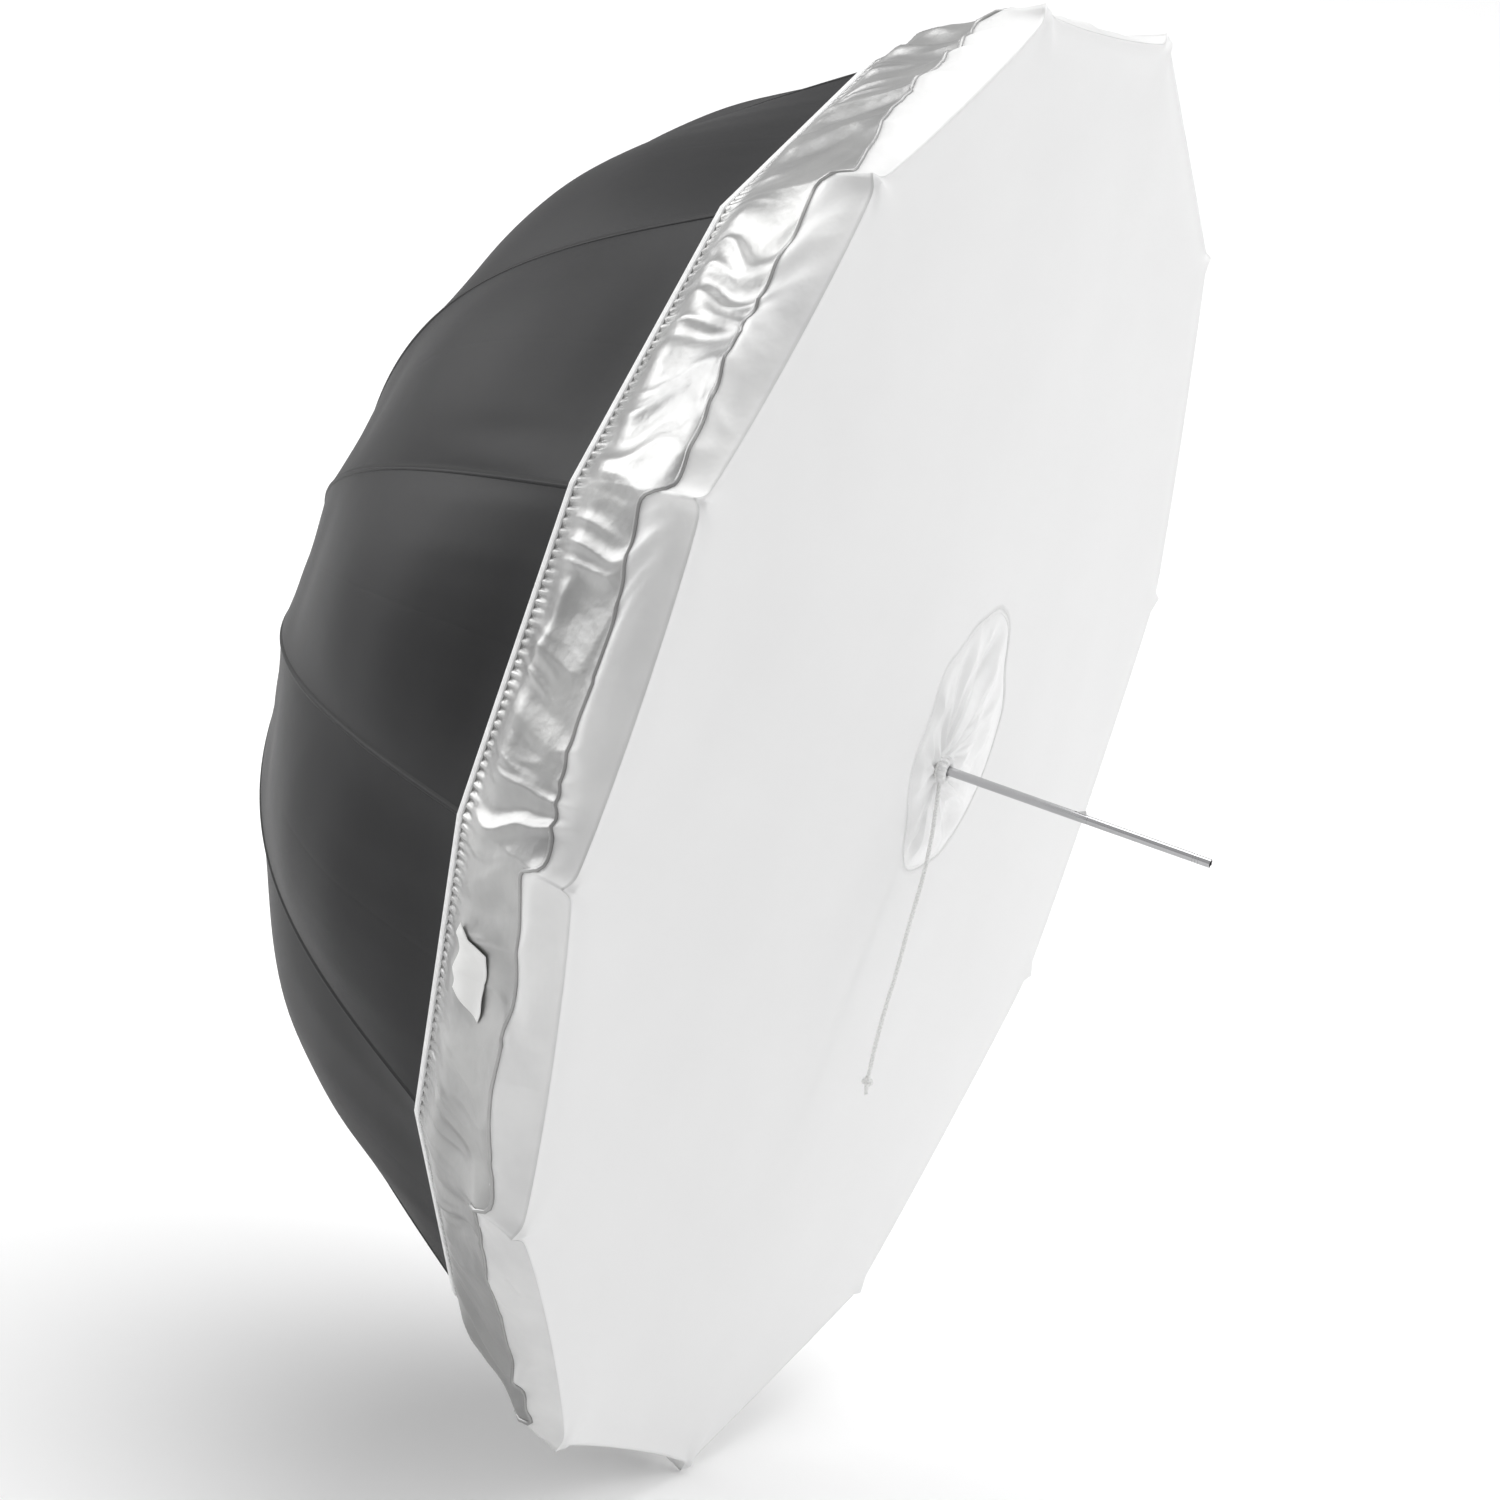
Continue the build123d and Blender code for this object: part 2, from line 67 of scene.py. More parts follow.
CANOPY_LINE = [(0.661, 0.272), (0.453, 0.568), (0.385, 0.754), (0.0172, 0.754)]  # radius and y
CLOTH_T = 0.8 * MM
TUCK_DEG = 0.7  # each canopy piece runs on under its neighbour

RIM_R, RIM_Y = 0.6675, 0.2665  # where the cover turns over the rib tips
HEM_R, HEM_Y = 0.5745, 0.4080
GATHER_PITCH = 9.2 * MM
# hem band across its width: along the slant from the hem's edge, and out from the cloth, in mm
HEM_SECTION = [(-0.8, 0.2), (-0.8, 1.6), (0.0, 2.1), (5.6, 2.1), (6.2, 1.5), (6.2, 0.2), (3.0, 0.0)]
EDGE_ROLL, ROLLED_SHARE = 8.0 * MM, 0.16  # the cover's front edge curves in between the rib tips
SLANT = float(np.hypot(RIM_R - HEM_R, HEM_Y - RIM_Y))  # front edge to hem
SHEET_Y = 0.1990  # front sheet at the shaft
SLEEVE_R, SLEEVE_AT = 0.118, (0.064, 0.006)
# the sleeve's gathered neck round the shaft: radius and y, in mm
NECK = [
    (4.6, 188.9), (8.6, 187.9), (11.6, 188.8), (12.6, 191.6),
    (11.8, 194.6), (9.6, 197.4), (10.4, 199.2),
]

CORD_D = 4.0 * MM
CORD_ROUTE = [  # x, y, z in mm
    (-1.0, 193.5, -12.4),
    (-1.4, 191.4, -33.0),
    (-2.2, 188.2, -61.0),
    (-1.6, 187.2, -97.0),
    (-2.8, 188.8, -138.0),
    (-2.0, 189.4, -181.0),
    (-3.0, 191.6, -222.0),
    (-2.4, 192.4, -257.0),
    (-1.6, 191.8, -282.0),
]

LABEL_L, LABEL_W = 0.066, 0.042
LABEL_ANGLE, LABEL_PLACE = 192.0, 0.69

RIB_ANGLES = [FIRST_RIB + PITCH * k for k in range(RIB_COUNT)]


# ---------------------------------------------------------------- numbers
def hashed(x, y, z):
    n = np.sin(x * 127.1 + y * 311.7 + z * 74.7) * 43758.5453
    return n - np.floor(n)


def noise(x, y, z=0.0):
    """Smooth noise from 0 to 1 with cells one unit wide."""
    x, y, z = np.broadcast_arrays(np.asarray(x, float), y, z)
    cell = [np.floor(v) for v in (x, y, z)]
    part = [v - c for v, c in zip((x, y, z), cell)]
    part = [p * p * (3 - 2 * p) for p in part]
    total = np.zeros(x.shape)
    for i in (0, 1):
        for j in (0, 1):
            for k in (0, 1):
                weight = np.ones(x.shape)
                for step, p in zip((i, j, k), part):
                    weight = weight * (p if step else 1 - p)
                total += weight * hashed(cell[0] + i, cell[1] + j, cell[2] + k)
    return total


def ridges(x, y, z=0.0):
    """Noise with sharp crests, from 0 to 1."""
    return 1 - np.abs(2 * noise(x, y, z) - 1)


def smooth(a, b, x):
    t = np.clip((np.asarray(x, float) - a) / (b - a), 0, 1)
    return t * t * (3 - 2 * t)


def gore(angle):
    """Place across a gore: -1 and 1 at its ribs, 0 in its middle."""
    return 2 * (((np.asarray(angle) - FIRST_RIB) / PITCH) % 1.0) - 1


def to_rib(angle, radius):
    """Arc length to the nearest rib, signed."""
    off = (np.asarray(angle) - FIRST_RIB + PITCH / 2) % PITCH - PITCH / 2
    return np.radians(off) * radius


def chord(angle):
    """Cloth stretched straight from rib to rib, as a share of the radius at the ribs."""
    half = radians(PITCH / 2)
    return cos(half) / np.cos(half * gore(angle))


def around(angle, radius, y):
    a = np.radians(angle)
    return np.stack(np.broadcast_arrays(np.cos(a) * radius, y, np.sin(a) * radius), axis=-1)


def on_line(points, u):
    """Point of a Bezier curve, and its direction."""
    u = np.asarray(u, float)[..., None]
    p = np.array(points)
    w = 1 - u
    place = w**3 * p[0] + 3 * w**2 * u * p[1] + 3 * w * u**2 * p[2] + u**3 * p[3]
    slope = w**2 * (p[1] - p[0]) + 2 * w * u * (p[2] - p[1]) + u**2 * (p[3] - p[2])
    return place, slope / np.linalg.norm(slope, axis=-1, keepdims=True)


# ---------------------------------------------------------------- mesh helpers
def new_mesh(name, points, faces, material, smooth_shading=True):
    mesh = bpy.data.meshes.new(name)
    mesh.from_pydata([tuple(p) for p in np.asarray(points).reshape(-1, 3).tolist()], [], faces)
    mesh.validate()
    if smooth_shading:
        mesh.polygons.foreach_set("use_smooth", [True] * len(mesh.polygons))
    obj = bpy.data.objects.new(name, mesh)
    bpy.context.scene.collection.objects.link(obj)
    for m in material if isinstance(material, (list, tuple)) else [material]:
        mesh.materials.append(m)
    return obj


def grid(name, points, material, wrap=False, flip=False):
    """Sheet from rows of points; wrap joins the last column to the first."""
    rows, columns = points.shape[:2]
    last = columns if wrap else columns - 1
    faces = []
    for i in range(rows - 1):
        for j in range(last):
            k = (j + 1) % columns
            quad = (i * columns + j, i * columns + k, (i + 1) * columns + k, (i + 1) * columns + j)
            faces.append(quad[::-1] if flip else quad)
    return new_mesh(name, points, faces, material)


def tube(name, path, radius, material, sides=8, closed=False):
    """Tube along points; radius is one number or one for each point."""
    path = np.asarray(path, float)
    count = len(path)
    radius = np.broadcast_to(radius, (count,))
    ahead = np.roll(path, -1, 0) - np.roll(path, 1, 0)
    if not closed:
        ahead[0], ahead[-1] = path[1] - path[0], path[-1] - path[-2]
    ahead /= np.linalg.norm(ahead, axis=1, keepdims=True)
    side = np.cross(ahead[0], (0.3, 0.9, 0.2))
    rings = []
    for here, along, r in zip(path, ahead, radius):
        side = side - along * (side @ along)
        side /= np.linalg.norm(side)
        other = np.cross(along, side)
        turn = np.arange(sides) * tau / sides
        rings.append(here + r * (np.cos(turn)[:, None] * side + np.sin(turn)[:, None] * other))
    faces = []
    for i in range(count if closed else count - 1):
        k = (i + 1) % count
        for j in range(sides):
            n = (j + 1) % sides
            faces.append((i * sides + j, i * sides + n, k * sides + n, k * sides + j))
    if not closed:
        faces.append(tuple(range(sides))[::-1])
        faces.append(tuple((count - 1) * sides + j for j in range(sides)))
    return new_mesh(name, np.concatenate(rings), faces, material)


def thicken(obj, thickness, offset=-1.0, inside=0):
    m = obj.modifiers.new("cloth", "SOLIDIFY")
    m.thickness = thickness
    m.offset = offset
    m.material_offset = inside
    return obj


# ---------------------------------------------------------------- materials
def material(name, colour, roughness, metallic=0.0, **extra):
    m = bpy.data.materials.new(name)
    m.use_nodes = True
    shader = m.node_tree.nodes["Principled BSDF"]
    shader.inputs["Base Color"].default_value = (*colour, 1)
    shader.inputs["Roughness"].default_value = roughness
    shader.inputs["Metallic"].default_value = metallic
    for key, value in extra.items():
        shader.inputs[key.replace("_", " ")].default_value = value
    return m


def add(m, kind, **values):
    node = m.node_tree.nodes.new(kind)
    for key, value in values.items():
        if key in node.inputs:
            node.inputs[key].default_value = value
        else:
            setattr(node, key, value)
    return node


def link(m, a, b):
    m.node_tree.links.new(a, b)


def coordinates(m, scale=(1, 1, 1)):
    where = add(m, "ShaderNodeTexCoord")
    mapping = add(m, "ShaderNodeMapping")
    mapping.inputs["Scale"].default_value = scale
    link(m, where.outputs["Object"], mapping.inputs["Vector"])
    return mapping.outputs["Vector"]


def vary(m, low, high, scale, detail=4.0, stretch=(1, 1, 1), socket="Base Color"):
    """Slow change of a colour or of the roughness over the surface."""
    cloud = add(m, "ShaderNodeTexNoise", Scale=scale, Detail=detail)
    link(m, coordinates(m, stretch), cloud.inputs["Vector"])
    ramp = add(m, "ShaderNodeValToRGB")
    ramp.color_ramp.elements[0].position = 0.3
    ramp.color_ramp.elements[1].position = 0.7
    for element, value in zip(ramp.color_ramp.elements, (low, high)):
        rgb = value if isinstance(value, tuple) else (value,) * 3
        element.color = (*rgb, 1)
    link(m, cloud.outputs["Fac"], ramp.inputs["Fac"])
    link(m, ramp.outputs["Color"], m.node_tree.nodes["Principled BSDF"].inputs[socket])


def relief(m, layers):
    """Bump from a sum of textures: each layer is (kind, scale, height in metres, stretch)."""
    before = None
    for kind, scale, height, stretch in layers:
        if kind == "noise":
            texture = add(m, "ShaderNodeTexNoise", Scale=scale, Detail=3.0)
            out = texture.outputs["Fac"]
        elif kind == "cells":
            texture = add(m, "ShaderNodeTexVoronoi", Scale=scale)
            out = texture.outputs["Distance"]
        else:
            texture = add(m, "ShaderNodeTexWave", Scale=scale, bands_direction=kind)
            out = texture.outputs["Fac"]
        link(m, coordinates(m, stretch), texture.inputs["Vector"])
        bump = add(m, "ShaderNodeBump", Strength=1.0, Distance=height)
        link(m, out, bump.inputs["Height"])
        if before is not None:
            link(m, before, bump.inputs["Normal"])
        before = bump.outputs["Normal"]
    link(m, before, m.node_tree.nodes["Principled BSDF"].inputs["Normal"])


ONE = (1, 1, 1)


def black_nylon():
    m = material("canopy_black_nylon", (0.008, 0.008, 0.009), 0.50, Specular_IOR_Level=0.25)
    vary(m, (0.006, 0.006, 0.007), (0.010, 0.010, 0.011), 6.0)
    weave = [("X", 900, 0.02 * MM, ONE), ("Z", 900, 0.02 * MM, ONE)]
    relief(m, [*weave, ("noise", 14, 0.5 * MM, ONE)])
    return m


def silver_inside():
    m = material("canopy_silver_inside", (0.62, 0.62, 0.63), 0.34, 0.85)
    vary(m, (0.56, 0.56, 0.57), (0.68, 0.68, 0.69), 9.0)
    relief(m, [("X", 700, 0.03 * MM, ONE), ("noise", 60, 0.3 * MM, ONE)])
    return m


def silver_satin():
    m = material("skirt_silver_satin", (0.38, 0.38, 0.38), 0.38, 0.74)
    vary(m, (0.32, 0.32, 0.32), (0.44, 0.44, 0.435), 11.0)
    crumples = [("noise", 22, 2.0 * MM, ONE), ("noise", 75, 0.5 * MM, ONE)]
    relief(m, [("Y", 650, 0.02 * MM, ONE), *crumples])
    return m


def border_satin():
    m = material("border_white_satin", (0.72, 0.72, 0.72), 0.45, 0.15, Sheen_Weight=0.2)
    vary(m, (0.64, 0.64, 0.64), (0.80, 0.80, 0.795), 9.0)
    relief(m, [("Y", 650, 0.02 * MM, ONE), ("noise", 26, 1.6 * MM, ONE)])
    return m


def white_cloth(name, colour=(0.90, 0.90, 0.90)):
    m = material(name, colour, 0.75, Sheen_Weight=0.25, Sheen_Roughness=0.5)
    vary(m, tuple(0.985 * c for c in colour), tuple(min(1, 1.01 * c) for c in colour), 5.0)
    weave = [("X", 800, 0.04 * MM, ONE), ("Z", 800, 0.04 * MM, ONE)]
    relief(m, [*weave, ("noise", 9, 0.9 * MM, ONE)])
    return m


def sheer_cloth():
    m = material("sleeve_sheer_cloth", (0.84, 0.84, 0.84), 0.33, Sheen_Weight=0.4, Coat_Weight=0.25)
    vary(m, (0.80, 0.80, 0.80), (0.88, 0.88, 0.88), 22.0)
    relief(m, [("X", 900, 0.03 * MM, ONE), ("noise", 38, 1.2 * MM, ONE)])
    return m


def elastic_tape():
    m = material("hem_elastic", (0.86, 0.86, 0.86), 0.7, Sheen_Weight=0.3)
    vary(m, (0.78, 0.78, 0.78), (0.92, 0.92, 0.92), 160.0)
    relief(m, [("Y", 180, 0.35 * MM, ONE), ("cells", 900, 0.15 * MM, ONE)])
    return m


def thread(name, colour):
    m = material(name, colour, 0.7, Sheen_Weight=0.3 if colour[0] > 0.1 else 0.0)
    vary(m, tuple(0.8 * c for c in colour), tuple(min(1, 1.1 * c) for c in colour), 700.0)
    relief(m, [("noise", 2500, 0.05 * MM, ONE)])
    return m


def metal(name, colour, roughness, scratch=(1, 30, 1)):
    m = material(name, colour, roughness, 1.0)
    vary(m, 0.75 * roughness, 1.35 * roughness, 40.0, stretch=scratch, socket="Roughness")
    relief(m, [("noise", 900, 0.006 * MM, scratch), ("noise", 60, 0.02 * MM, ONE)])
    return m


def plastic(name, colour, roughness):
    m = material(name, colour, roughness)
    vary(m, 0.85 * roughness, 1.2 * roughness, 120.0, socket="Roughness")
    relief(m, [("noise", 1400, 0.02 * MM, ONE)])
    return m


NYLON, SILVER, SATIN, BORDER = black_nylon(), silver_inside(), silver_satin(), border_satin()
SHEET, SLEEVE = white_cloth("front_white_cloth"), sheer_cloth()
LABEL, ELASTIC = white_cloth("label_cloth", (0.80, 0.80, 0.79)), elastic_tape()
WHITE_THREAD = thread("white_thread", (0.85, 0.85, 0.85))
# near-black stitching thread, made darker than the nylon as painted shade in the seam grooves
GROOVE_THREAD_AND_SHADE = thread("groove_thread_and_painted_shade", (0.004, 0.004, 0.004))
GREY_THREAD = thread("grey_thread", (0.42, 0.42, 0.42))
CORD = thread("cord_braid", (0.87, 0.87, 0.86))

NODE_MATERIALS = {
    "shaft": metal("shaft_steel", (0.50, 0.50, 0.51), 0.12, (30, 1, 30)),
    "runner": plastic("runner_plastic", (0.02, 0.02, 0.02), 0.42),
    "crown_cap": plastic("cap_plastic", (0.015, 0.015, 0.015), 0.35),
    "crown": plastic("crown_plastic", (0.025, 0.025, 0.025), 0.45),
    "open_catch": metal("catch_steel", (0.62, 0.62, 0.62), 0.28),
    "closed_catch": metal("catch_steel_closed", (0.62, 0.62, 0.62), 0.28),
    "rib_fittings": metal("fittings_metal", (0.55, 0.55, 0.56), 0.33),
    "rib": metal("rib_metal", (0.38, 0.38, 0.40), 0.36),
    "strut": metal("strut_metal", (0.70, 0.70, 0.71), 0.30),
}


def finish_nodes():
    """Give each CAD node that still shows its material, by its name without the number."""
    for name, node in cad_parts.items():
        finish = NODE_MATERIALS.get(name.rstrip("0123456789").rstrip("_"))
        if finish:
            for slot in node.material_slots:
                slot.material = finish


# ---------------------------------------------------------------- canopy
# how far a gore's middle stands out from the straight cloth: radius in metres, height in mm
BULGE = [
    (0.0, 0.0), (0.12, -2.5), (0.25, -4.0), (0.31, -3.0), (0.36, 8.0), (0.42, 22.0),
    (0.48, 25.0), (0.53, 14.0), (0.565, 2.0), (0.60, 0.0), (0.68, 0.0),
]


def bulge(radius):
    r, b = zip(*BULGE)
    fine = np.linspace(0, 0.68, 341)
    values = np.interp(fine, r, b)
    kernel = np.hanning(31)
    values = np.convolve(np.pad(values, 15, mode="edge"), kernel / kernel.sum(), mode="valid")
    return np.interp(radius, fine, values) * MM


def canopy_surface(angle, u, lift=0.0):
    """Outside of the canopy at an angle and at u, which is 0 at the rim and 1 at the crown."""
    place, along = on_line(CANOPY_LINE, u)
    radius, y = place[..., 0], place[..., 1]
    out = np.stack([along[..., 1], -along[..., 0]], axis=-1)
    t = gore(angle)
    near = smooth(0.56, 0.46, radius) * smooth(0.05, 0.2, radius)
    arc = to_rib(angle, radius)
    pull = 3.4 * MM * smooth(0.66, 0.50, radius) * smooth(0.42, 0.52, radius)
    folds = pull * (noise(arc * 26 + 40, radius * 5 + angle * 0.3) - 0.5) * np.abs(t)
    slack = near * 1.6 * MM * (noise(angle * 0.16, radius * 11) - 0.5) * (1 - t**2)
    under_cover = -13 * MM * smooth(0.600, 0.655, radius) * (1 - t**2)
    push = bulge(radius) * (1 - t**2) + folds + slack + CLOTH_T + lift + under_cover
    radius = radius * (1 - (1 - chord(angle)) * smooth(0.10, 0.3, radius)) + out[..., 0] * push
    return around(angle, radius, y + out[..., 1] * push)


def canopy():
    rows = np.linspace(0, 1, 90)
    half = PITCH / 2
    edge = np.concatenate([np.linspace(-half, half, 45), [half + 0.35, half + TUCK_DEG]])
    offsets = np.concatenate([[-half - TUCK_DEG, -half - 0.35], edge])
    for index, rib_angle in enumerate(RIB_ANGLES, start=1):
        angle, u = np.meshgrid(rib_angle + offsets, rows)
        tuck = -0.45 * MM * smooth(half, half + TUCK_DEG, np.abs(angle - rib_angle))
        surface = canopy_surface(angle, u, tuck)
        piece = grid(f"canopy_{index:02d}", surface, [NYLON, SILVER], flip=True)
        thicken(piece, CLOTH_T, inside=1)
        body = f"rib_{index:02d}"
        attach(piece, body)
        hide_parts(f"canopy_panel_{index:02d}")
        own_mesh(piece)
        seam = felled_seam(index, rib_angle)
        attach(seam, body)


def felled_seam(index, rib_angle):
    """Raised strip along a rib: a stitched groove on one side, in thread darker than the nylon as
    painted shade, and a rounded lip on the other.
    """
    profile = [
        (-2.6, -0.2), (-2.2, 0.2), (0.0, 0.12), (0.4, 0.8),
        (1.5, 1.1), (2.9, 1.0), (3.8, 0.5), (4.2, -0.25),
    ]
    # faces on the groove side take the darker thread: painted shade along the seam
    shaded_groove_faces = 2
    rows = np.linspace(0.0, 0.985, 130)
    place, _ = on_line(CANOPY_LINE, rows)
    points = []
    for u, (radius, _) in zip(rows, place):
        squeeze = min(1.0, radius / 0.08)
        offsets = np.array([s for s, _ in profile]) * MM * squeeze
        lift = np.array([h for _, h in profile]) * MM
        angle = rib_angle + np.degrees(offsets / radius)
        points.append(canopy_surface(angle, np.full(len(profile), u), lift))
    seam = grid(f"seam_{index:02d}", np.array(points), [NYLON, GROOVE_THREAD_AND_SHADE], flip=True)
    for face in seam.data.polygons:
        face.material_index = 1 if face.index % (len(profile) - 1) < shaded_groove_faces else 0
    return seam


# ---------------------------------------------------------------- cover: skirt, hem, piping, label
def skirt_surface(angle, v, lift=0.0):
    """Outside of the skirt: v is 0 at the front edge and 1 at the hem."""
    angle, v = np.broadcast_arrays(np.asarray(angle, float), np.asarray(v, float))
    radius = RIM_R + (HEM_R - RIM_R) * v
    y = RIM_Y + (HEM_Y - RIM_Y) * v
    flat_radius = radius * chord(angle)
    arc = to_rib(angle, radius)
    slack = 1 - gore(angle) ** 2
    turn = np.radians(angle)
    sway = noise(np.cos(turn) * 5 + 8, np.sin(turn) * 5 + 8, v * 2.2) - 0.5
    turn = turn + 0.24 * sway * smooth(1.0, 0.2, v)

    def wrapped(scale, shift, along):
        return ridges(np.cos(turn) * scale + shift, np.sin(turn) * scale + shift, v * along)

    # a pocket over each rib tip, and a rolled edge between the tips
    width = 5 * MM + 34 * MM * v
    cone = 8.5 * MM * np.exp(-((np.abs(arc) / width) ** 1.3)) * smooth(0.5, 0.05, v)
    rolled = -EDGE_ROLL * slack**0.6 * np.clip(1 - v / ROLLED_SHARE, 0, 1) ** 2
    # crumples of three sizes, which end before the hem, and small ones in the border
    free = smooth(0.0, 0.3, v) * smooth(1.0, 0.70, v)
    big = 9.0 * MM * wrapped(9, 30, 2.0) * (0.4 + 0.6 * slack)
    middle = 5.0 * MM * wrapped(16, 50, 1.4) ** 1.5
    middle = middle + 7.0 * MM * noise(np.cos(turn) * 19, np.sin(turn) * 19, v * 3.5)
    border = 6.0 * MM * wrapped(17, 15, 3.0) * smooth(0.02, 0.12, v) * smooth(0.34, 0.2, v) * slack
    folds = border + free * (big + middle)
    calm = noise(np.cos(turn) * 6 + 70, np.sin(turn) * 6 + 70, v * 1.5)
    fine = 4.6 * MM * (0.4 + 0.6 * calm) * wrapped(34, 90, 1.2) ** 1.5
    fine = fine * smooth(0.30, 0.75, v) * smooth(1.01, 0.84, v)
    pitch = np.radians(angle) * HEM_R / GATHER_PITCH * tau
    gathers = 1.7 * MM * np.sin(pitch + 3 * noise(angle / 6, 2.5))
    gathers = gathers * smooth(0.84, 0.97, v) * smooth(1.0, 0.985, v)
    push = cone + rolled + folds + fine + gathers + lift
    out = np.array([HEM_Y - RIM_Y, RIM_R - HEM_R])
    out /= np.linalg.norm(out)
    return around(angle, flat_radius + push * out[0], y + push * out[1])


def piping_place(angle):
    """How far down the skirt the piping runs: it wanders, and steps back at each rib tip."""
    arc = to_rib(angle, RIM_R)
    step = 0.10 * np.tanh(arc / (6 * MM)) * np.exp(-np.abs(arc) / (70 * MM))
    return 0.26 + 0.11 * (noise(angle / 9, 7.5) - 0.4) + step


def cover(piece):
    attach(piece, "diffuser")
    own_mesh(piece)
    return piece


def skirt():
    angles = np.linspace(0, 360, RIB_COUNT * 150, endpoint=False)
    rows = np.concatenate([np.linspace(0, 0.9, 44), np.linspace(0.91, 1.0, 10)])
    angle, v = np.meshgrid(angles, rows)
    piece = grid("skirt", skirt_surface(angle, v), [SATIN, BORDER], wrap=True)
    front = (v < piping_place(angle))[:-1].ravel()
    piece.data.polygons.foreach_set("material_index", front.astype(int).tolist())
    thicken(piece, 0.5 * MM)
    cover(piece)
    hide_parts("diffuser_skirt", "elastic_hem")

    route = skirt_surface(angles[::2], piping_place(angles[::2]), 1.2 * MM)
    piping = tube("piping", route, 2.0 * MM, SATIN, sides=10, closed=True)
    stitched = skirt_surface(angles[::2], piping_place(angles[::2]) + 0.022, 0.15 * MM)
    edge_row = tube("piping_stitches", stitched, 0.45 * MM, GREY_THREAD, sides=5, closed=True)

    band = []
    slant_r, slant_y = (HEM_R - RIM_R) / SLANT, (HEM_Y - RIM_Y) / SLANT
    for along, high in HEM_SECTION:
        weave = 0.12 * MM * noise(angles * 3.1, along)
        radius = HEM_R * chord(angles) + along * MM * slant_r + (high * MM + weave) * slant_y
        band.append(around(angles, radius, HEM_Y + along * MM * slant_y - high * MM * slant_r))
    hem = grid("hem_band", np.array(band + band[:1]), ELASTIC, wrap=True)
    stitch_count = 1500
    zigzag = np.linspace(0, 360, stitch_count, endpoint=False)
    swing = np.where(np.arange(stitch_count) % 2 == 0, 0.985, 0.952)
    route = skirt_surface(zigzag, swing, 0.35 * MM)
    stitches = tube("hem_stitches", route, 0.32 * MM, WHITE_THREAD, sides=4, closed=True)
    label = care_label()
    for part in (piping, edge_row, hem, stitches, label):
        cover(part)


def care_label():
    """Blank sewn-in label, held by one edge and a little wavy."""
    across, down = np.meshgrid(np.linspace(-0.5, 0.5, 30), np.linspace(-0.5, 0.5, 24))
    radius = RIM_R + (HEM_R - RIM_R) * LABEL_PLACE
    lean = -0.3 * down * LABEL_W
    angle = LABEL_ANGLE + np.degrees((across * LABEL_L + lean) / radius)
    v = LABEL_PLACE - 0.05 + (down * LABEL_W + 1.3 * MM * np.sin(across * 13)) / SLANT
    curl = 1.3 * MM * np.sin(down * 7 + 1) * (across + 0.5)
    wave = 2.6 * MM + curl + 0.8 * MM * np.sin(across * 8)
    label = grid("care_label", skirt_surface(angle, v, wave), LABEL)
    return thicken(label, 0.35 * MM)


# ---------------------------------------------------------------- cover: front sheet and sleeve
def sheet_y(radius):
    return SHEET_Y + (RIM_Y - 2.0 * MM - SHEET_Y) * radius / RIM_R


def sheet_relief(x, z):
    """Slow waves of the stretched front sheet, and faint pulls towards its rim."""
    radius = np.hypot(x, z)
    angle = np.degrees(np.arctan2(z, x))
    tight = smooth(RIM_R, 0.50, radius) * smooth(0.12, 0.30, radius)
    waves = 5.0 * MM * (noise(x * 4.2 + 5, z * 3.1 + 5) - 0.5)
    waves = waves + 2.4 * MM * (noise(x * 11 + 9, z * 6 + 9) - 0.5)
    spokes = 1.6 * MM * (noise(angle / 7 + 60, radius * 3) - 0.5)
    spokes *= smooth(0.40, 0.60, radius) * smooth(RIM_R, 0.6, radius)
    return tight * waves + spokes


def rim_point(angle):
    return skirt_surface(angle, np.zeros(np.shape(angle)))


def sleeve_rim(turn):
    """Sewn edge of the sleeve panel, which its gathers pull out of round."""
    pulled = 1.06 - 0.18 * noise(np.cos(turn) * 2.3 + 31, np.sin(turn) * 2.3 + 31)
    direction = np.stack([np.cos(turn), np.sin(turn)], axis=-1)
    return direction * (SLEEVE_R * pulled)[:, None] + SLEEVE_AT


def front_sheet():
    angles = np.linspace(0, 360, RIB_COUNT * 60, endpoint=False)
    turn = np.radians(angles)
    inner = sleeve_rim(turn)
    edge = rim_point(angles)
    outer = edge[:, [0, 2]]
    at_tip = np.exp(-((to_rib(angles, RIM_R) / (14 * MM)) ** 2))
    shares = np.concatenate([np.linspace(0, 0.96, 90), np.linspace(0.968, 1.0, 9)])
    rows = []
    for s in shares:
        flat = inner + (outer - inner) * s
        radius = np.hypot(flat[:, 0], flat[:, 1])
        y = sheet_y(radius) + sheet_relief(flat[:, 0], flat[:, 1])
        roll = smooth(0.94 + 0.045 * at_tip, 1.0, s) ** 1.5
        y = y - 1.8 * MM * at_tip * smooth(0.90, 0.96, s)
        y = y + (edge[:, 1] - y) * roll
        rows.append(np.stack([flat[:, 0], y, flat[:, 1]], axis=-1))
    piece = grid("front_sheet", np.array(rows), SHEET, wrap=True, flip=True)
    thicken(piece, 0.5 * MM)
    cover(piece)
    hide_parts("diffuser_front")


